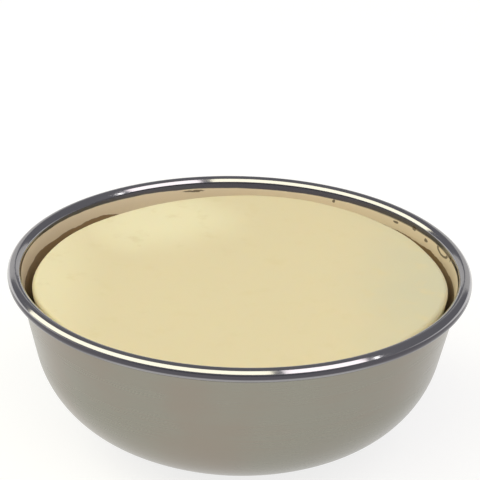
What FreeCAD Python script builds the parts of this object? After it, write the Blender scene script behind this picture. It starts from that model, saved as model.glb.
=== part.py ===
import FreeCAD, Part

import math
import os

import Sketcher
from FreeCAD import Vector

# A cake of hard shaving soap lying loose in a spun metal bowl.
#
# The bowl is one sheet of metal: a flat base, a wide belly, a rounder shoulder, a straight leaning
# wall, and a rim curled outwards into a hollow bead.  The cake was cast in the bowl and has shrunk
# away from it, so it repeats the bowl's outline with a gap that widens towards the rim.
#
# Millimetres and degrees.  The origin is the centre of the underside of the bowl's base, and +Z
# is up along the bowl's axis.

SIZES = {
    # the bowl
    "rim_radius": 45.0,
    "bowl_height": 35.9,
    "gauge": 0.8,
    "bead_radius": 1.35,
    "curl_end_angle": -115.0,
    "wall_lean": 12.9,
    "wall_foot_height": 19.35,
    "shoulder_radius": 20.9,
    "belly_radius": 43.6,
    "base_radius": 14.9,
    # the cake
    "cake_radius": 40.6,
    "cake_height": 32.9,
    "cake_edge_round": 1.0,
    "flank_lean": 11.6,
    "flank_foot_height": 18.6,
    "cake_shoulder_radius": 18.6,
    "cake_belly_radius": 42.2,
    "cake_base_radius": 12.0,
}

# the named points of a sketch edge, and the sketch's own origin
START, END, CENTRE = 1, 2, 3
ORIGIN = (-1, 1)

OVERLAP_LIMIT = 1e-6


def make_sheet(doc):
    """Put every driving dimension into a spreadsheet cell with an alias."""
    sheet = doc.addObject("Spreadsheet::Sheet", "Sizes")
    for row, (alias, value) in enumerate(SIZES.items(), start=1):
        sheet.set(f"A{row}", alias)
        sheet.set(f"B{row}", str(value))
        sheet.setAlias(f"B{row}", alias)


def polar(centre, radius, angle):
    """The point at an angle on a circle."""
    turn = math.radians(angle)
    return centre + Vector(radius * math.cos(turn), radius * math.sin(turn), 0)


def direction(start, end):
    """The angle of the step from one point to another."""
    step = end - start
    return math.degrees(math.atan2(step.y, step.x))


def find_belly_centre(foot, belly_radius, shoulder_centre, shoulder_radius):
    """Centre the belly arc so that it starts at the foot and runs smoothly into the shoulder arc."""
    centre_gap = belly_radius - shoulder_radius
    step = shoulder_centre - foot
    along = (belly_radius ** 2 - centre_gap ** 2 + step.Length ** 2) / (2 * step.Length)
    across = math.sqrt(belly_radius ** 2 - along ** 2)
    step.normalize()
    return foot + step * along + Vector(-step.y, step.x, 0) * across


class Outline:
    """A closed sketch in a body's XZ plane: x is the distance from the axis and y is the height."""

    def __init__(self, body):
        self.sketch = body.newObject("Sketcher::SketchObject", f"{body.Name}_outline")
        plane = next(item for item in body.Origin.OriginFeatures if item.Role == "XZ_Plane")
        self.sketch.AttachmentSupport = (plane, [""])
        self.sketch.MapMode = "FlatFace"

    def line(self, start, end):
        return self.sketch.addGeometry(Part.LineSegment(start, end), False)

    def arc(self, centre, radius, first, last):
        circle = Part.Circle(centre, Vector(0, 0, 1), radius)
        edge = Part.ArcOfCircle(circle, math.radians(first), math.radians(last))
        return self.sketch.addGeometry(edge, False)

    def join(self, kind, *items):
        return self.sketch.addConstraint(Sketcher.Constraint(kind, *items))

    def drive(self, name, formula, value, kind, *items):
        """Add a dimension whose value follows a formula of the spreadsheet's cells."""
        self.sketch.renameConstraint(self.join(kind, *items, value), name)
        self.sketch.setExpression(f"Constraints.{name}", formula)


class Flank:
    """The base, belly, shoulder and straight leaning flank that the bowl and the cake both have."""

    def __init__(self, outline, base_radius, belly_radius, shoulder_radius, lean, straight_foot, straight_top):
        foot = Vector(base_radius, 0, 0)
        self.shoulder_centre = polar(straight_foot, shoulder_radius, 180 - lean)
        self.belly_centre = find_belly_centre(foot, belly_radius, self.shoulder_centre, shoulder_radius)
        self.join_angle = direction(self.belly_centre, self.shoulder_centre)
        foot_angle = direction(self.belly_centre, foot)
        self.base = outline.line(Vector(0, 0, 0), foot)
        self.belly = outline.arc(self.belly_centre, belly_radius, foot_angle, self.join_angle)
        self.shoulder = outline.arc(self.shoulder_centre, shoulder_radius, self.join_angle, -lean)
        self.straight = outline.line(straight_foot, straight_top)
        outline.join("Coincident", self.base, START, *ORIGIN)
        outline.join("Horizontal", self.base)
        outline.join("Coincident", self.base, END, self.belly, START)
        outline.join("Tangent", self.belly, END, self.shoulder, START)
        outline.join("Tangent", self.shoulder, END, self.straight, START)


def draw_bowl(body):
    """Draw the section of the bowl's sheet, from the axis out to the cut edge of the curled rim."""
    outline = Outline(body)
    gauge = SIZES["gauge"]
    lean = SIZES["wall_lean"]
    bead = SIZES["bead_radius"]
    belly_radius = SIZES["belly_radius"]
    shoulder_radius = SIZES["shoulder_radius"]
    foot_height = SIZES["wall_foot_height"]
    curl_end = SIZES["curl_end_angle"]
    tangent_angle = 180 - lean
    bead_centre = Vector(SIZES["rim_radius"] - bead, SIZES["bowl_height"] - bead, 0)

    # the outside of the sheet, which becomes the inside of the curl
    lip = polar(bead_centre, bead - gauge, tangent_angle)
    drop = lip.y - foot_height
    wall_foot = lip - Vector(drop * math.tan(math.radians(lean)), drop, 0)
    flank = Flank(outline, SIZES["base_radius"], belly_radius, shoulder_radius, lean, wall_foot, lip)
    curl_inside = outline.arc(bead_centre, bead - gauge, curl_end, tangent_angle)
    outline.join("Tangent", flank.straight, END, curl_inside, END)

    # the cut edge of the sheet, square to it, and the outside of the curl
    inner_corner = polar(bead_centre, bead - gauge, curl_end)
    outer_corner = polar(bead_centre, bead, curl_end)
    cut_edge = outline.line(inner_corner, outer_corner)
    curl_outside = outline.arc(bead_centre, bead, curl_end, tangent_angle)
    outline.join("Coincident", curl_inside, START, cut_edge, START)
    outline.join("Coincident", cut_edge, END, curl_outside, START)
    outline.join("Coincident", curl_inside, CENTRE, curl_outside, CENTRE)
    outline.join("PointOnObject", curl_inside, CENTRE, cut_edge)

    # the inside of the sheet, from the curl down to the floor
    inner_lip = polar(bead_centre, bead, tangent_angle)
    inner_foot = polar(flank.shoulder_centre, shoulder_radius - gauge, -lean)
    floor_drop = flank.belly_centre.y - gauge
    floor_angle = -math.degrees(math.asin(floor_drop / (belly_radius - gauge)))
    floor_edge = polar(flank.belly_centre, belly_radius - gauge, floor_angle)
    floor_middle = Vector(0, gauge, 0)
    wall = outline.line(inner_lip, inner_foot)
    shoulder = outline.arc(flank.shoulder_centre, shoulder_radius - gauge, flank.join_angle, -lean)
    belly = outline.arc(flank.belly_centre, belly_radius - gauge, floor_angle, flank.join_angle)
    floor = outline.line(floor_edge, floor_middle)
    axis = outline.line(floor_middle, Vector(0, 0, 0))
    outline.join("Tangent", curl_outside, END, wall, START)
    outline.join("Tangent", wall, END, shoulder, END)
    outline.join("Coincident", shoulder, CENTRE, flank.shoulder, CENTRE)
    outline.join("Tangent", shoulder, START, belly, END)
    outline.join("Vertical", belly, CENTRE, flank.belly, CENTRE)
    outline.join("Coincident", belly, START, floor, START)
    outline.join("Horizontal", floor)
    outline.join("Coincident", floor, END, axis, START)
    outline.join("Coincident", axis, END, *ORIGIN)
    outline.join("Vertical", axis)

    drive = outline.drive
    drive("base_radius", "Sizes.base_radius", SIZES["base_radius"],
          "DistanceX", flank.base, START, flank.base, END)
    drive("belly_radius", "Sizes.belly_radius", belly_radius, "Radius", flank.belly)
    drive("shoulder_radius", "Sizes.shoulder_radius", shoulder_radius, "Radius", flank.shoulder)
    drive("wall_foot_height", "Sizes.wall_foot_height", foot_height,
          "DistanceY", *ORIGIN, flank.straight, START)
    drive("wall_slope", "(90 - Sizes.wall_lean) * 1deg", math.radians(90 - lean), "Angle", flank.straight)
    drive("bead_out", "Sizes.rim_radius - Sizes.bead_radius", bead_centre.x,
          "DistanceX", *ORIGIN, curl_inside, CENTRE)
    drive("bead_up", "Sizes.bowl_height - Sizes.bead_radius", bead_centre.y,
          "DistanceY", *ORIGIN, curl_inside, CENTRE)
    drive("curl_inside", "Sizes.bead_radius - Sizes.gauge", bead - gauge, "Radius", curl_inside)
    drive("curl_outside", "Sizes.bead_radius", bead, "Radius", curl_outside)
    drive("curl_end", "Sizes.curl_end_angle * 1deg", math.radians(curl_end), "Angle", cut_edge)
    drive("inner_shoulder", "Sizes.shoulder_radius - Sizes.gauge", shoulder_radius - gauge,
          "Radius", shoulder)
    drive("inner_belly", "Sizes.belly_radius - Sizes.gauge", belly_radius - gauge, "Radius", belly)
    drive("gauge", "Sizes.gauge", gauge, "DistanceY", axis, END, axis, START)
    return outline.sketch


def draw_cake(body):
    """Draw half the section of the solid cake, from its underside up to its rounded top edge."""
    outline = Outline(body)
    lean = SIZES["flank_lean"]
    edge = SIZES["cake_edge_round"]
    height = SIZES["cake_height"]
    belly_radius = SIZES["cake_belly_radius"]
    shoulder_radius = SIZES["cake_shoulder_radius"]
    foot_height = SIZES["flank_foot_height"]
    edge_centre = Vector(SIZES["cake_radius"] - edge, height - edge, 0)

    edge_foot = polar(edge_centre, edge, -lean)
    drop = edge_foot.y - foot_height
    flank_foot = edge_foot - Vector(drop * math.tan(math.radians(lean)), drop, 0)
    flank = Flank(outline, SIZES["cake_base_radius"], belly_radius, shoulder_radius, lean,
                  flank_foot, edge_foot)
    rounding = outline.arc(edge_centre, edge, -lean, 90)
    top_middle = Vector(0, height, 0)
    top = outline.line(edge_centre + Vector(0, edge, 0), top_middle)
    axis = outline.line(top_middle, Vector(0, 0, 0))
    outline.join("Tangent", flank.straight, END, rounding, START)
    outline.join("Tangent", rounding, END, top, START)
    outline.join("Horizontal", top)
    outline.join("Coincident", top, END, axis, START)
    outline.join("Coincident", axis, END, *ORIGIN)
    outline.join("Vertical", axis)

    drive = outline.drive
    drive("base_radius", "Sizes.cake_base_radius", SIZES["cake_base_radius"],
          "DistanceX", flank.base, START, flank.base, END)
    drive("belly_radius", "Sizes.cake_belly_radius", belly_radius, "Radius", flank.belly)
    drive("shoulder_radius", "Sizes.cake_shoulder_radius", shoulder_radius, "Radius", flank.shoulder)
    drive("flank_foot_height", "Sizes.flank_foot_height", foot_height,
          "DistanceY", *ORIGIN, flank.straight, START)
    drive("flank_slope", "(90 - Sizes.flank_lean) * 1deg", math.radians(90 - lean),
          "Angle", flank.straight)
    drive("edge_round", "Sizes.cake_edge_round", edge, "Radius", rounding)
    drive("edge_out", "Sizes.cake_radius - Sizes.cake_edge_round", edge_centre.x,
          "DistanceX", *ORIGIN, rounding, CENTRE)
    drive("height", "Sizes.cake_height", height, "DistanceY", axis, END, axis, START)
    return outline.sketch


def make_turned_body(doc, label, draw):
    """Make a body by turning its section once round the vertical axis."""
    body = doc.addObject("PartDesign::Body", label)
    body.Label = label
    sketch = draw(body)
    turning = body.newObject("PartDesign::Revolution", f"{label}_turning")
    turning.Profile = sketch
    turning.ReferenceAxis = (sketch, ["V_Axis"])
    turning.Angle = 360
    return body


def check(doc, bodies):
    """Raise an error for a failed feature, a loose sketch, or a body that isn't one sound solid."""
    for item in doc.Objects:
        if {"Invalid", "Error"} & set(item.State):
            raise RuntimeError(f"{item.Name} failed: {item.State}")
        if item.isDerivedFrom("Sketcher::SketchObject") and not item.FullyConstrained:
            raise RuntimeError(f"{item.Name} is not fully constrained: {item.DoF} left")
    for body in bodies:
        shape = body.Shape
        if shape.isNull() or not shape.isValid() or len(shape.Solids) != 1:
            raise RuntimeError(f"{body.Label} is not one valid solid")
    first, second = (body.Shape for body in bodies)
    if first.common(second).Volume > OVERLAP_LIMIT:
        raise RuntimeError("the cake cuts into the bowl")


def main():
    doc = FreeCAD.newDocument("shaving_soap_bowl")
    make_sheet(doc)
    doc.recompute()
    bowl = make_turned_body(doc, "bowl", draw_bowl)
    cake = make_turned_body(doc, "soap_puck", draw_cake)

    # the cake stands on the bowl's floor
    cake.setExpression("Placement.Base.z", "Sizes.gauge")
    doc.recompute()

    bodies = (bowl, cake)
    check(doc, bodies)
    os.makedirs("parts", exist_ok=True)
    for body in bodies:
        body.Shape.exportStep(f"parts/{body.Label}.step")
        box = body.Shape.BoundBox
        print(f"{body.Label}: {body.Shape.Volume:.0f} mm3, {box.XLength:.2f} x {box.YLength:.2f} x "
              f"{box.ZLength:.2f} mm")


main()
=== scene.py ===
import math

import bmesh
import bpy
from bpy.props import FloatProperty, FloatVectorProperty, IntProperty, PointerProperty
from bpy.types import NodeSocket, Operator, Panel, PropertyGroup
from mathutils import Matrix, Vector, noise


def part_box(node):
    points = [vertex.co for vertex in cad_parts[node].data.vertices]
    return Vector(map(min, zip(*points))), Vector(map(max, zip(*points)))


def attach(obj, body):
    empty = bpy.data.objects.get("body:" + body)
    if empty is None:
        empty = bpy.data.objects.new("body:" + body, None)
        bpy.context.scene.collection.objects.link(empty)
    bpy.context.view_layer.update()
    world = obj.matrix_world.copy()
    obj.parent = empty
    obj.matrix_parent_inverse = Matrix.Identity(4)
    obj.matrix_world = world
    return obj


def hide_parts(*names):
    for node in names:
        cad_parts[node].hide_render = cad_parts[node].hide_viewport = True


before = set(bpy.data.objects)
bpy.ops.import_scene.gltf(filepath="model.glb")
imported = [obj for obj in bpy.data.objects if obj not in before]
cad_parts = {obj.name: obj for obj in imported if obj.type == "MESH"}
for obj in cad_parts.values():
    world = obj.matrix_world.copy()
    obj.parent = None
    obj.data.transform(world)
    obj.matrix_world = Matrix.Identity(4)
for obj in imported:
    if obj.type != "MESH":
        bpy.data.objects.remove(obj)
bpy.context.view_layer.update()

bl_info = {
    "name": "Shaving soap bowl",
    "version": (1, 0, 0),
    "blender": (4, 5, 0),
    "location": "3D View > Sidebar > Soap bowl",
    "description": "A cake of hard shaving soap lying loose in a spun metal bowl",
    "category": "Add Mesh",
}

MM = 0.001
SOFTBOX_DISTANCE = 1.6
BOWL_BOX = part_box("bowl")
CAKE_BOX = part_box("soap_puck")
RIM_RADIUS = (BOWL_BOX[1].x - BOWL_BOX[0].x) / 2
BOWL_HEIGHT = BOWL_BOX[1].z
CAKE_RADIUS = (CAKE_BOX[1].x - CAKE_BOX[0].x) / 2
CAKE_FOOT = CAKE_BOX[0].z
CAKE_TOP = CAKE_BOX[1].z


def length(name, description, default):
    """A length that the user can change, in metres."""
    return FloatProperty(
        name=name, description=description, default=default, min=0, unit="LENGTH", precision=5
    )


def angle(name, description, degrees):
    return FloatProperty(name=name, description=description, default=math.radians(degrees), subtype="ANGLE")


def colour(name, description, default):
    return FloatVectorProperty(
        name=name, description=description, default=default, size=3, min=0, max=1, subtype="COLOR"
    )


class BowlSettings(PropertyGroup):
    """Sizes and colours of the bowl."""

    rim_radius: length("Rim radius", "Outside radius of the bead", RIM_RADIUS)
    height: length("Height", "From the underside of the base to the top of the bead", BOWL_HEIGHT)
    gauge: length("Gauge", "Thickness of the sheet", 0.8 * MM)
    bead_radius: length("Bead radius", "Radius of the curled rim's round section", 1.35 * MM)
    curl_end: angle("Curl end", "Where the curl's cut edge stands, from straight out", -115)
    lean: angle("Lean", "Lean of the straight wall from upright", 12.9)
    wall_foot: length("Wall foot", "Height where the straight wall starts", 19.35 * MM)
    shoulder_radius: length("Shoulder radius", "Outside radius of the bend below the wall", 20.9 * MM)
    belly_radius: length("Belly radius", "Outside radius of the wide bend above the base", 43.6 * MM)
    base_radius: length("Base radius", "Radius of the flat base", 14.9 * MM)
    segments: IntProperty(name="Segments", description="Divisions round the bowl", default=224, min=24)
    satin: colour("Satin metal", "Colour of the satin outside", (0.280, 0.272, 0.232))
    polished: colour("Polished metal", "Colour of the polished bead and inside", (0.50, 0.49, 0.50))
    # Painted shade: a dark reflection painted on the lower and inner bead.
    bead_shade_colour: colour("Painted_bead_shade", "Colour of the tarnish under the bead", (0.086, 0.082, 0.096))
    # Partly a real soap film, partly a painted reflection of the cake in the polished wall.
    film_and_reflection: colour("Soap film", "Colour of the dried soap left on the inner wall", (0.80, 0.68, 0.50))
    # Painted shade: the dark brown in the gap between the cake and the wall.
    gap_shade: colour("Painted_gap_shade", "Colour of the old stain in the gap round the cake", (0.35, 0.23, 0.11))
    flecks: colour("Flecks", "Colour of the dark flecks on the inner wall", (0.085, 0.06, 0.03))


class CakeSettings(PropertyGroup):
    """Sizes and colours of the soap cake."""

    radius: length("Radius", "Largest radius of the cake", CAKE_RADIUS)
    foot: length("Foot", "Height of the cake's underside", CAKE_FOOT)
    top: length("Top", "Height of the cake's top", CAKE_TOP)
    edge_round: length("Edge round", "Radius of the worn top edge", 1.0 * MM)
    lean: angle("Lean", "Lean of the straight flank from upright", 11.6)
    flank_foot: length("Flank foot", "Height above the underside where the flank starts", 18.6 * MM)
    shoulder_radius: length("Shoulder radius", "Radius of the bend below the flank", 18.6 * MM)
    belly_radius: length("Belly radius", "Radius of the wide bend above the underside", 42.2 * MM)
    base_radius: length("Base radius", "Radius of the flat underside", 12.0 * MM)
    segments: IntProperty(name="Segments", description="Divisions round the cake", default=224, min=24)
    soap: colour("Soap", "Main colour of the soap", (0.712, 0.633, 0.414))
    # Used for the dry patch and for the painted light on the left side.
    pale_soap: colour("Pale soap", "Colour of the dry patch", (0.807, 0.757, 0.518))
    # Painted shade: the colour of the darker right side.
    shaded_soap: colour("Shaded soap", "Colour of the damp side", (0.597, 0.581, 0.430))


class StageSettings(PropertyGroup):
    """The floor, the light and the camera."""

    floor: colour("Floor", "Colour of the floor", (0.26, 0.26, 0.26))
    floor_glow: FloatProperty(name="Floor glow", description="Light from below the floor", default=3.0)
    surroundings: colour("Surroundings", "Colour of the dim room", (0.20, 0.20, 0.22))
    softbox: FloatProperty(name="Softbox", description="Radiance of the softboxes", default=2.3)
    card: FloatProperty(name="Card", description="Radiance of the pale cards behind the bowl", default=0.63)
    camera_distance: length("Camera distance", "From the middle of the rim to the camera", 10 * RIM_RADIUS)
    camera_rise: angle("Camera rise", "Height of the camera above the rim, as an angle", 25.19)
    camera_roll: angle("Camera roll", "Tilt of the camera about its line of sight", 1.49)
    aim_height: length("Aim height", "Height where the line of sight passes the bowl's axis", 41.0 * MM)
    aim_left: length("Aim left", "How far to the left of the bowl's axis the camera aims", 0.14 * MM)
    lens: FloatProperty(name="Lens", description="Focal length in millimetres", default=173.7)


# ---------------------------------------------------------------- outlines

def polar(centre, radius, turn):
    """The point at an angle on a circle in the section plane."""
    return centre + Vector((math.cos(turn), math.sin(turn))) * radius


def arc(centre, radius, first, last, steps):
    """Points along an arc, both ends included."""
    return [polar(centre, radius, first + (last - first) * step / steps) for step in range(steps + 1)]


def straight(start, end, steps):
    return [start.lerp(end, step / steps) for step in range(steps + 1)]


def chain(*runs):
    """Join runs of points end to end, leaving out the repeated joints."""
    points = [runs[0][0]]
    for run in runs:
        points += run[1:]
    return points


def heading(start, end):
    return math.atan2(end.y - start.y, end.x - start.x)


def find_belly_centre(foot, belly_radius, shoulder_centre, shoulder_radius):
    """Centre the belly arc so that it starts at the foot and runs smoothly into the shoulder arc."""
    step = shoulder_centre - foot
    between_centres = belly_radius - shoulder_radius
    along = (belly_radius ** 2 - between_centres ** 2 + step.length_squared) / (2 * step.length)
    across = math.sqrt(belly_radius ** 2 - along ** 2)
    step.normalize()
    return foot + step * along + Vector((-step.y, step.x)) * across


def bowl_outline(bowl):
    """The section of the sheet from the middle of the base, round the curl, to the middle of the floor.

    Returns its points and the number of them that lie on the satin outside.
    """
    gauge, bead = bowl.gauge, bowl.bead_radius
    tangent = math.pi - bowl.lean
    bead_centre = Vector((bowl.rim_radius - bead, bowl.height - bead))
    lip = polar(bead_centre, bead - gauge, tangent)
    drop = lip.y - bowl.wall_foot
    wall_foot = lip - Vector((drop * math.tan(bowl.lean), drop))
    shoulder_centre = polar(wall_foot, bowl.shoulder_radius, tangent)
    base_edge = Vector((bowl.base_radius, 0))
    belly_centre = find_belly_centre(base_edge, bowl.belly_radius, shoulder_centre, bowl.shoulder_radius)
    bend = heading(belly_centre, shoulder_centre)
    outside = chain(
        straight(Vector((0, 0)), base_edge, 10),
        arc(belly_centre, bowl.belly_radius, heading(belly_centre, base_edge), bend, 22),
        arc(shoulder_centre, bowl.shoulder_radius, bend, -bowl.lean, 18),
        straight(wall_foot, lip, 22),
    )
    inner_belly, inner_shoulder = bowl.belly_radius - gauge, bowl.shoulder_radius - gauge
    floor_turn = -math.asin((belly_centre.y - gauge) / inner_belly)
    inner_lip = polar(bead_centre, bead, tangent)
    inner_foot = polar(shoulder_centre, inner_shoulder, -bowl.lean)
    inside = chain(
        arc(bead_centre, bead - gauge, tangent, bowl.curl_end, 28),
        straight(*(polar(bead_centre, radius, bowl.curl_end) for radius in (bead - gauge, bead)), 2),
        arc(bead_centre, bead, bowl.curl_end, tangent, 44),
        straight(inner_lip, inner_foot, 26),
        arc(shoulder_centre, inner_shoulder, -bowl.lean, bend, 18),
        arc(belly_centre, inner_belly, bend, floor_turn, 22),
        straight(polar(belly_centre, inner_belly, floor_turn), Vector((0, gauge)), 10),
    )
    return chain(outside, inside), len(outside)


def cake_outline(cake):
    """Half the section of the cake, from the middle of its underside to the middle of its top."""
    tangent = math.pi - cake.lean
    height = cake.top - cake.foot
    edge_centre = Vector((cake.radius - cake.edge_round, height - cake.edge_round))
    edge_foot = polar(edge_centre, cake.edge_round, -cake.lean)
    drop = edge_foot.y - cake.flank_foot
    flank_foot = edge_foot - Vector((drop * math.tan(cake.lean), drop))
    shoulder_centre = polar(flank_foot, cake.shoulder_radius, tangent)
    base_edge = Vector((cake.base_radius, 0))
    belly_centre = find_belly_centre(base_edge, cake.belly_radius, shoulder_centre, cake.shoulder_radius)
    bend = heading(belly_centre, shoulder_centre)
    points = chain(
        straight(Vector((0, 0)), base_edge, 8),
        arc(belly_centre, cake.belly_radius, heading(belly_centre, base_edge), bend, 20),
        arc(shoulder_centre, cake.shoulder_radius, bend, -cake.lean, 16),
        straight(flank_foot, edge_foot, 14),
        arc(edge_centre, cake.edge_round, -cake.lean, math.pi / 2, 14),
        straight(edge_centre + Vector((0, cake.edge_round)), Vector((0, height)), 44),
    )
    return [point + Vector((0, cake.foot)) for point in points]


def turn_outline(name, outline, segments, reshape):
    """Turn an outline, which starts and ends on the axis, into a closed mesh.

    reshape(radius, height, turn) gives the final place of each point.
    """
    mesh = bmesh.new()
    rings = []
    for index, point in enumerate(outline):
        on_axis = index in (0, len(outline) - 1)
        turns = [0.0] if on_axis else [math.tau * step / segments for step in range(segments)]
        radius = 0.0 if on_axis else point.x
        rings.append([mesh.verts.new(reshape(radius, point.y, turn)) for turn in turns])
    for ring_index, (lower, upper) in enumerate(zip(rings, rings[1:])):
        for step in range(segments):
            after = (step + 1) % segments
            if len(lower) == 1:
                corners = (lower[0], upper[after], upper[step])
            elif len(upper) == 1:
                corners = (lower[step], lower[after], upper[0])
            else:
                corners = (lower[step], lower[after], upper[after], upper[step])
            face = mesh.faces.new(corners)
            face.smooth = True
    mesh.normal_update()
    return finish_mesh(name, mesh)


def finish_mesh(name, mesh):
    data = bpy.data.meshes.new(name)
    mesh.to_mesh(data)
    mesh.free()
    return data


def add_to_stage(name, data):
    """Put a finished mesh in the scene as a part of the studio."""
    thing = bpy.data.objects.new(name, data)
    bpy.context.scene.collection.objects.link(thing)


def add_piece(name, data, body, node):
    """Put a finished mesh in the scene as a piece that stands for a CAD node."""
    piece = bpy.data.objects.new(name, data)
    bpy.context.scene.collection.objects.link(piece)
    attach(piece, body)
    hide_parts(node)
    return piece


# ---------------------------------------------------------------- materials

class Number:
    """A socket that carries one number. Arithmetic on it adds Math nodes."""

    def __init__(self, surface, socket):
        self.surface = surface
        self.socket = socket

    def __add__(self, other):
        return self.surface.maths("ADD", self, other)

    def __radd__(self, other):
        return self.surface.maths("ADD", other, self)

    def __sub__(self, other):
        return self.surface.maths("SUBTRACT", self, other)

    def __rsub__(self, other):
        return self.surface.maths("SUBTRACT", other, self)

    def __mul__(self, other):
        return self.surface.maths("MULTIPLY", self, other)

    def __rmul__(self, other):
        return self.surface.maths("MULTIPLY", other, self)

    def __abs__(self):
        return self.surface.maths("ABSOLUTE", self)


class Surface:
    """A node material, with one method that adds any node to it."""

    def __init__(self, name):
        self.material = bpy.data.materials.new(name)
        self.material.use_nodes = True
        self.tree = self.material.node_tree
        self.tree.nodes.clear()
        place = self.node("ShaderNodeTexCoord").outputs["Object"]
        split = self.node("ShaderNodeSeparateXYZ", {}, {"Vector": place})
        self.place = place
        self.x, self.y, self.z = (Number(self, output) for output in split.outputs)
        self.radius = self.distance(self.x, self.y)

    def node(self, kind, settings=None, inputs=None):
        """Add a node: its settings first, then the values or links of its sockets."""
        node = self.tree.nodes.new(kind)
        for name, value in (settings or {}).items():
            setattr(node, name, value)
        for name, value in (inputs or {}).items():
            value = value.socket if isinstance(value, Number) else value
            if isinstance(value, NodeSocket):
                self.tree.links.new(value, node.inputs[name])
            else:
                node.inputs[name].default_value = value
        return node

    def maths(self, operation, *values):
        node = self.node("ShaderNodeMath", {"operation": operation}, dict(enumerate(values)))
        return Number(self, node.outputs[0])

    def distance(self, across, up):
        return self.maths("SQRT", across * across + up * up)

    def noise(self, scale, detail=2.0, roughness=0.5, vector=None):
        """Smooth noise from 0 to 1, scale cells to the metre."""
        inputs = {"Vector": vector or self.place, "Scale": scale, "Detail": detail, "Roughness": roughness}
        node = self.node("ShaderNodeTexNoise", {}, inputs)
        return Number(self, node.outputs["Fac"])

    def step(self, value, low, high):
        """A smooth step: 0 below low, 1 above high."""
        inputs = {"Value": value, "From Min": low, "From Max": high}
        node = self.node("ShaderNodeMapRange", {"interpolation_type": "SMOOTHSTEP"}, inputs)
        return Number(self, node.outputs["Result"])

    def vector(self, x, y, z):
        return self.node("ShaderNodeCombineXYZ", {}, {"X": x, "Y": y, "Z": z}).outputs["Vector"]

    def mix(self, factor, first, second):
        """Mix two colours."""
        node = self.node("ShaderNodeMix", {"data_type": "RGBA"}, {"Factor": factor})
        for socket, value in ((node.inputs[6], first), (node.inputs[7], second)):
            if isinstance(value, NodeSocket):
                self.tree.links.new(value, socket)
            else:
                socket.default_value = (*value, 1.0)
        return node.outputs[2]

    def bump(self, height, strength, distance):
        inputs = {"Height": height, "Strength": strength, "Distance": distance}
        return self.node("ShaderNodeBump", {}, inputs).outputs["Normal"]

    def finish(self, **sockets):
        """Close the material with a Principled shader; an underscore stands for a space."""
        inputs = {name.replace("_", " "): value for name, value in sockets.items()}
        for name in ("Base Color", "Emission Color"):
            if isinstance(inputs.get(name), (tuple, list)):
                inputs[name] = (*inputs[name], 1.0)
        shader = self.node("ShaderNodeBsdfPrincipled", {}, inputs)
        self.node("ShaderNodeOutputMaterial", {}, {"Surface": shader.outputs[0]})
        return self.material


# The rings that spinning leaves: noise cells to the metre round the bowl, and across the rings.
FINE_RINGS = (18, 2600)
BROAD_RINGS = (9, 260)


def spinning_rings(surface, cells, detail, roughness):
    """Noise drawn out into rings round the bowl."""
    round_bowl, across = cells
    along = surface.z + surface.radius
    place = surface.vector(surface.x * round_bowl, surface.y * round_bowl, along * across)
    return surface.noise(1.0, detail, roughness, place)


def satin_metal(bowl):
    """The bowl's outside: satin sheet with the fine rings that spinning leaves."""
    surface = Surface("satin_metal")
    lines = spinning_rings(surface, FINE_RINGS, 3.0, 0.6)
    bands = spinning_rings(surface, BROAD_RINGS, 2.0, 0.5)
    cloud = surface.noise(38, 3.0)
    metal = tuple(bowl.satin)
    worn = tuple(scale * channel for scale, channel in zip((1.02, 0.94, 0.93), metal))
    shade = surface.mix(surface.step(cloud * 0.75 + lines * 0.25, 0.40, 0.60), worn, metal)
    roughness = 0.19 + bands * 0.05 + cloud * 0.07 + lines * 0.03
    normal = surface.bump(lines * 0.7 + bands * 0.3, 0.14, 0.02 * MM)
    return surface.finish(Base_Color=shade, Metallic=1.0, Roughness=roughness, Normal=normal)


# Flecks of dried soap high on the inner wall: where each is round the bowl, how far below the rim, and
# half its width and height.
FLECKS = (
    (math.radians(104), 2.40 * MM, 2.6 * MM, 0.22 * MM),
    (math.radians(62.7), 2.40 * MM, 0.45 * MM, 0.38 * MM),
    (math.radians(41), 2.40 * MM, 0.9 * MM, 0.28 * MM),
    (math.radians(33.3), 1.85 * MM, 0.7 * MM, 0.45 * MM),
    (math.radians(27), 2.60 * MM, 0.8 * MM, 0.35 * MM),
    (math.radians(10.7), 1.40 * MM, 0.35 * MM, 0.70 * MM),
)
# A thread of dried soap that hangs in a bow, given in the same way.
BOW = (math.radians(17), 1.80 * MM, 2.8 * MM, 0.909 * MM)


def film_and_gap_shade(surface, bowl, cake):
    """Masks for the band of dried soap on the inner wall, which also stands in for the cake's reflection,
    and for the painted shade in the gap below it.

    The band starts a little below the top of the cake, lower at the back. Its upper edge is not level.
    Returns the height of that edge too.
    """
    ragged = surface.noise(130, 4.0, 0.6) - 0.5
    top = bowl.height - 1.2 * MM - surface.y * 0.019 - surface.x * 0.003 + ragged * 0.4 * MM
    lower_at_back = surface.step(surface.y, 30 * MM, 36 * MM)
    foot = cake.top - 1.76 * MM - lower_at_back * 1.2 * MM + ragged * 1.5 * MM
    above_foot = surface.step(surface.z - foot, -0.06 * MM, 0.06 * MM)
    film_and_reflection = (1 - surface.step(surface.z - top, -0.12 * MM, 0.06 * MM)) * above_foot
    # Painted shade in the gap below the band, fading out further down.
    gap_shade = surface.step(surface.z, cake.top - 12 * MM, cake.top - 4 * MM) * (1 - above_foot)
    return top, film_and_reflection, gap_shade


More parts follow.
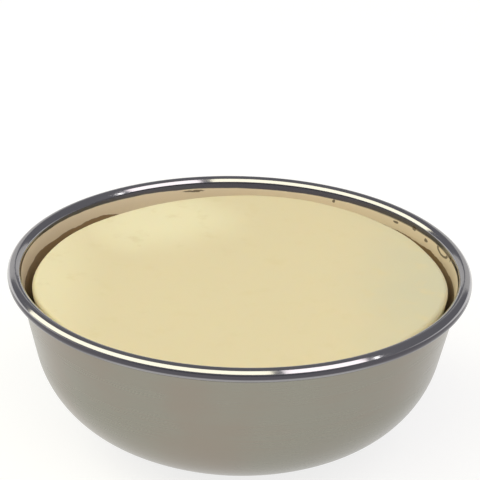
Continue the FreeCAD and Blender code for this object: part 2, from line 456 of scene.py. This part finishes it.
def dark_flecks(surface, bowl, film_top):
    """A mask for the flecks, the bow and the thin dark line on the right along the top of the film."""
    turn = surface.maths("ARCTAN2", surface.y, surface.x)
    wobble = (surface.noise(900, 2.0) - 0.5) * 0.5 * MM
    right_side = surface.step(surface.x, 20 * MM, 38 * MM)
    mask = right_side * (1 - surface.step(abs(surface.z - film_top + 0.1 * MM), 0.03 * MM, 0.12 * MM))
    for middle, drop, half_width, half_height in FLECKS:
        across = (turn - middle) * (bowl.rim_radius / half_width) + wobble * (1 / half_width)
        up = (surface.z - (bowl.height - drop) + wobble) * (1 / half_height)
        fleck = 1 - surface.step(across * across + up * up, 0.5, 1.2)
        mask = surface.maths("MAXIMUM", mask, fleck)
    middle, drop, half_width, half_height = BOW
    across = (turn - middle) * (bowl.rim_radius / half_width)
    up = (surface.z - (bowl.height - drop)) * (1 / half_height)
    from_middle = across * across + up * up + wobble * 600
    ring = surface.step(from_middle, 0.45, 0.7) * (1 - surface.step(from_middle, 1.1, 1.4))
    return surface.maths("MAXIMUM", mask, ring * (1 - surface.step(up, -0.1, 0.3)))


def bead_shade_mask(surface, bowl, cake):
    """A mask for painted shade: a dark reflection painted on the bead below its top, weaker at the left and
    right and on the underside at the front and back.
    """
    bead_middle = bowl.rim_radius - bowl.bead_radius
    outside = surface.step(surface.radius, bead_middle - 0.2 * MM, bead_middle + 0.2 * MM)
    # The top of the bead, where the highlights fall, stays free of the painted shade.
    bead_top = surface.step(surface.z, bowl.height - 0.95 * MM, bowl.height - 0.72 * MM)
    above_cake = surface.step(surface.z, cake.top - 4 * MM, cake.top - 2 * MM)
    front_and_back = surface.step(abs(surface.y), 8 * MM, 15 * MM)
    near_sides = surface.step(abs(surface.x), 18 * MM, 34 * MM)
    under = 1 - surface.step(surface.z, bowl.height - 1.80 * MM, bowl.height - 1.60 * MM)
    outer_share = (1 - under * (1 - near_sides) * 0.5) * (1 - (1 - under) * (1 - front_and_back) * 0.6)
    share = outside * outer_share + (1 - outside) * front_and_back * 0.95
    return (1 - bead_top) * share * above_cake


def polished_metal(bowl, cake):
    """The bead and the bowl's inside: polished, with painted shade (a dark reflection) under the bead,
    dried soap on the wall that also stands in for the cake's reflection, and painted shade in the gap round
    the cake.
    """
    surface = Surface("polished_metal")
    lines = spinning_rings(surface, FINE_RINGS, 3.0, 0.6)
    waves = surface.noise(140, 2.0)
    smears = surface.noise(60, 4.0, 0.6)
    inside = 1 - surface.step(surface.radius, bowl.rim_radius - 2.75 * MM, bowl.rim_radius - 2.55 * MM)
    film_top, film_and_reflection, gap_shade = film_and_gap_shade(surface, bowl, cake)
    film_and_reflection, gap_shade = film_and_reflection * inside, gap_shade * inside
    flecks = dark_flecks(surface, bowl, film_top) * inside
    bead_shade = bead_shade_mask(surface, bowl, cake)

    polished = tuple(bowl.polished)
    smeared = tuple(0.93 * channel for channel in polished)
    clean = surface.mix(surface.step(smears, 0.3, 0.7), smeared, polished)
    # Painted shade: a dark reflection painted on the bead.
    with_bead_shade = surface.mix(bead_shade, clean, tuple(bowl.bead_shade_colour))
    # Painted shade in the gap round the cake.
    gap_shaded = surface.mix(gap_shade * 0.85, with_bead_shade, tuple(bowl.gap_shade))
    # The band is partly a real soap film and partly a painted reflection of the cake.
    coated = surface.mix(film_and_reflection * 0.95, gap_shaded, tuple(bowl.film_and_reflection))
    shade = surface.mix(flecks * 0.85, coated, tuple(bowl.flecks))
    roughness = 0.08 + smears * 0.05 + film_and_reflection * 0.35 + gap_shade * 0.3 + bead_shade * 0.08
    metallic = 1 - film_and_reflection * 0.75 - gap_shade * 0.6
    normal = surface.bump(lines * 0.3 + waves, 0.30, 0.05 * MM)
    return surface.finish(Base_Color=shade, Metallic=metallic, Roughness=roughness, Normal=normal)


# The patch of the cake's top that has dried: its middle and its radius.
DRY_PATCH = (-17 * MM, 27 * MM, 22 * MM)


def waxy_soap(cake):
    """Hard soap: smooth and waxy, a little translucent, paler where it has dried, with painted light on the
    left side and painted shade on the right.
    """
    surface = Surface("waxy_soap")
    patches = surface.noise(32, 3.0, 0.5)
    mottle = surface.noise(210, 4.0, 0.6)
    grain = surface.noise(1500, 3.0, 0.6)
    patch_x, patch_y, patch_radius = DRY_PATCH
    from_dry = surface.distance(surface.x - patch_x, surface.y - patch_y)
    dry_patch = 1 - surface.step(from_dry + (patches - 0.5) * patch_radius, 2 * MM, patch_radius)
    # Painted light: the left side of the cake is made paler.
    lit_left_side = 1 - surface.step(surface.x, -40 * MM, -24 * MM)
    dry_and_lit = surface.maths("MAXIMUM", dry_patch, lit_left_side * 0.8)
    # Painted shade: the right side of the cake is made darker.
    shaded = surface.step(surface.x + (patches - 0.5) * 24 * MM, 16 * MM, 42 * MM)
    dried = surface.mix(dry_and_lit * 0.9, tuple(cake.soap), tuple(cake.pale_soap))
    with_shaded_side = surface.mix(shaded * 0.9, dried, tuple(cake.shaded_soap))
    deeper = tuple(channel * scale for channel, scale in zip(cake.soap, (0.97, 0.96, 0.90)))
    shade = surface.mix(surface.step(mottle, 0.52, 0.75) * 0.6, with_shaded_side, deeper)
    roughness = 0.42 + patches * 0.10 + grain * 0.05
    normal = surface.bump(grain * 0.25 + mottle, 0.35, 0.05 * MM)
    return surface.finish(
        Base_Color=shade,
        Roughness=roughness,
        Normal=normal,
        IOR=1.46,
        Specular_IOR_Level=0.4,
        Subsurface_Weight=0.22,
        Subsurface_Radius=(1.0, 0.62, 0.30),
        Subsurface_Scale=2.0 * MM,
    )


def pale_floor(stage):
    """Translucent sheet, lit a little from below."""
    surface = Surface("pale_floor")
    cloud = surface.noise(3, 2.0)
    shade = surface.mix(cloud, tuple(0.985 * channel for channel in stage.floor), tuple(stage.floor))
    return surface.finish(
        Base_Color=shade,
        Roughness=0.75,
        Specular_IOR_Level=0.2,
        Emission_Color=shade,
        Emission_Strength=stage.floor_glow,
    )


def glowing_cloth(name, tint, brightness):
    """The cloth of a softbox, very slightly uneven."""
    surface = Surface(name)
    uneven = surface.noise(2.5, 2.0)
    glow = surface.mix(uneven, tuple(0.94 * channel for channel in tint), tint)
    return surface.finish(
        Base_Color=(0.0, 0.0, 0.0), Roughness=1.0, Emission_Color=glow, Emission_Strength=brightness
    )


# ---------------------------------------------------------------- pieces

class SOAPBOWL_OT_bowl(Operator):
    """Make the spun metal bowl with its curled rim"""

    bl_idname = "soap_bowl.make_bowl"
    bl_label = "Make bowl"

    def execute(self, context):
        bowl = context.scene.soap_bowl
        cake = context.scene.soap_cake
        outline, satin_count = bowl_outline(bowl)

        def reshape(radius, height, turn):
            return Vector((radius * math.cos(turn), radius * math.sin(turn), height))

        data = turn_outline("spun_bowl", outline, bowl.segments, reshape)
        data.materials.append(satin_metal(bowl))
        data.materials.append(polished_metal(bowl, cake))
        for face in data.polygons:
            face.material_index = int(face.index // bowl.segments >= satin_count - 1)
        add_piece("spun_bowl", data, "bowl", "bowl")
        return {"FINISHED"}


# Where drying has pulled the cake's side in: the middle of the pull and its half width, and its depth.
PULLS = (
    (math.radians(128), math.radians(65), 2.9 * MM),
    (math.radians(172), math.radians(30), 0.5 * MM),
    (math.radians(41), math.radians(52), 1.0 * MM),
    (math.radians(15), math.radians(22), 0.45 * MM),
)


# The cake's gentle unevenness: noise cells to the metre, and height.
SWELL = (45, 0.10 * MM)
WEAR = (80, 0.25 * MM)


def pull_at(turn):
    """How far the cake's side is pulled in at an angle round it."""
    total = 0.0
    for middle, half_width, depth in PULLS:
        away = math.remainder(turn - middle, math.tau)
        if abs(away) < half_width:
            total += depth * math.cos(away / half_width * math.pi / 2) ** 2
    return total


class SOAPBOWL_OT_cake(Operator):
    """Make the soap cake, cast in the bowl and shrunk away from it"""

    bl_idname = "soap_bowl.make_cake"
    bl_label = "Make soap cake"

    def execute(self, context):
        cake = context.scene.soap_cake

        def reshape(radius, height, turn):
            outward = Vector((math.cos(turn), math.sin(turn), 0))
            share = min(radius / cake.radius, 1.0) ** 3
            rise = (height - cake.foot) / (cake.top - cake.foot)
            place = outward * (radius - pull_at(turn) * share * rise)
            place.z = height
            swell = noise.noise(place * SWELL[0]) * SWELL[1]
            place -= outward * abs(noise.noise(place * WEAR[0])) * WEAR[1] * share
            on_top = rise > 0.98
            if on_top:
                place.z += (swell - SWELL[1]) * min(1.0, 1.2 - share)
            return place

        data = turn_outline("soap_cake", cake_outline(cake), cake.segments, reshape)
        data.materials.append(waxy_soap(cake))
        add_piece("soap_cake", data, "cake", "soap_puck")
        return {"FINISHED"}


def add_softbox(name, rise, turns, tilts, tint, brightness):
    """A curved softbox or card that faces the bowl, described by the streak it makes on the bead.

    The streak runs between two turns round the bead. At its edges the bead's surface faces up by
    the two tilts. All are in degrees. The camera looks down on the bowl by the angle rise.
    """
    mesh = bmesh.new()
    columns, rows = 24, 12
    camera_side = Vector((0, -math.cos(rise), math.sin(rise)))
    grid = []
    for column in range(columns + 1):
        turn = math.radians(turns[0] + (turns[1] - turns[0]) * column / columns)
        line = []
        for row in range(rows + 1):
            tilt = math.radians(tilts[0] + (tilts[1] - tilts[0]) * row / rows)
            level = math.cos(tilt)
            facing = Vector((math.cos(turn) * level, math.sin(turn) * level, math.sin(tilt)))
            towards = facing * (2 * facing.dot(camera_side)) - camera_side
            line.append(mesh.verts.new(towards * SOFTBOX_DISTANCE))
        grid.append(line)
    for left, right in zip(grid, grid[1:]):
        for row in range(rows):
            mesh.faces.new((left[row], right[row], right[row + 1], left[row + 1]))
    data = finish_mesh(name, mesh)
    data.materials.append(glowing_cloth(name, tint, brightness))
    add_to_stage(name, data)


class SOAPBOWL_OT_stage(Operator):
    """Make the floor, the studio light and the camera"""

    bl_idname = "soap_bowl.make_stage"
    bl_label = "Make stage"

    def execute(self, context):
        stage = context.scene.soap_stage
        self.make_floor(stage)
        self.make_room(context, stage)
        rise, bright = stage.camera_rise, stage.softbox
        warm, rosy, white = (1.0, 0.97, 0.77), (1.0, 0.93, 0.95), (1.0, 0.99, 0.98)
        add_softbox("large_softbox", rise, (209, 278.4), (29.5, 56.5), warm, bright)
        add_softbox("small_softbox", rise, (281.2, 302), (28, 56.5), rosy, bright)
        add_softbox("narrow_softbox", rise, (304.6, 305.5), (27, 45), white, 2.2 * bright)
        add_softbox("left_card", rise, (166, 192), (45, 88), white, stage.card)
        add_softbox("right_card", rise, (-12, 14), (45, 88), white, stage.card)
        self.make_camera(context, stage)
        context.scene.view_settings.view_transform = "Standard"
        return {"FINISHED"}

    def make_floor(self, stage):
        """A wide sheet whose far edge is turned up."""
        half_width, flat_radius, steepness = 3.4, 2.2, 0.35
        mesh = bmesh.new()
        bmesh.ops.create_grid(mesh, x_segments=60, y_segments=60, size=half_width)
        for vertex in mesh.verts:
            beyond = min(max(0.0, vertex.co.xy.length - flat_radius), half_width - flat_radius)
            vertex.co.z = steepness * beyond ** 2
        data = finish_mesh("floor", mesh)
        data.materials.append(pale_floor(stage))
        add_to_stage("floor", data)

    def make_room(self, context, stage):
        world = bpy.data.worlds.new("room")
        world.use_nodes = True
        background = world.node_tree.nodes["Background"]
        background.inputs["Color"].default_value = (*stage.surroundings, 1.0)
        background.inputs["Strength"].default_value = 1.0
        context.scene.world = world

    def make_camera(self, context, stage):
        data = bpy.data.cameras.new("camera")
        data.lens = stage.lens
        data.clip_start = 0.01
        camera = bpy.data.objects.new("camera", data)
        rim_height = context.scene.soap_bowl.height - context.scene.soap_bowl.bead_radius
        back = Vector((0, -math.cos(stage.camera_rise), math.sin(stage.camera_rise)))
        camera.location = Vector((0, 0, rim_height)) + back * stage.camera_distance
        sight = Vector((-stage.aim_left, 0, stage.aim_height)) - camera.location
        level = sight.to_track_quat("-Z", "Y").to_matrix()
        roll = Matrix.Rotation(stage.camera_roll, 3, "Z")
        camera.rotation_mode = "QUATERNION"
        camera.rotation_quaternion = (level @ roll).to_quaternion()
        context.scene.collection.objects.link(camera)
        context.scene.camera = camera


class SOAPBOWL_PT_panel(Panel):
    """Lists the pieces and their settings"""

    bl_idname = "SOAPBOWL_PT_panel"
    bl_label = "Soap bowl"
    bl_space_type = "VIEW_3D"
    bl_region_type = "UI"
    bl_category = "Soap bowl"

    def draw(self, context):
        for settings, operator in (
            (context.scene.soap_bowl, SOAPBOWL_OT_bowl),
            (context.scene.soap_cake, SOAPBOWL_OT_cake),
            (context.scene.soap_stage, SOAPBOWL_OT_stage),
        ):
            box = self.layout.box()
            for name in settings.bl_rna.properties.keys():
                if name not in ("rna_type", "name"):
                    box.prop(settings, name)
            box.operator(operator.bl_idname)


CLASSES = (
    BowlSettings,
    CakeSettings,
    StageSettings,
    SOAPBOWL_OT_bowl,
    SOAPBOWL_OT_cake,
    SOAPBOWL_OT_stage,
    SOAPBOWL_PT_panel,
)


def register():
    for item in CLASSES:
        bpy.utils.register_class(item)
    bpy.types.Scene.soap_bowl = PointerProperty(type=BowlSettings)
    bpy.types.Scene.soap_cake = PointerProperty(type=CakeSettings)
    bpy.types.Scene.soap_stage = PointerProperty(type=StageSettings)


def unregister():
    del bpy.types.Scene.soap_stage
    del bpy.types.Scene.soap_cake
    del bpy.types.Scene.soap_bowl
    for item in reversed(CLASSES):
        bpy.utils.unregister_class(item)


def main():
    register()
    bpy.ops.soap_bowl.make_stage()
    bpy.ops.soap_bowl.make_bowl()
    bpy.ops.soap_bowl.make_cake()


if __name__ == "__main__":
    main()
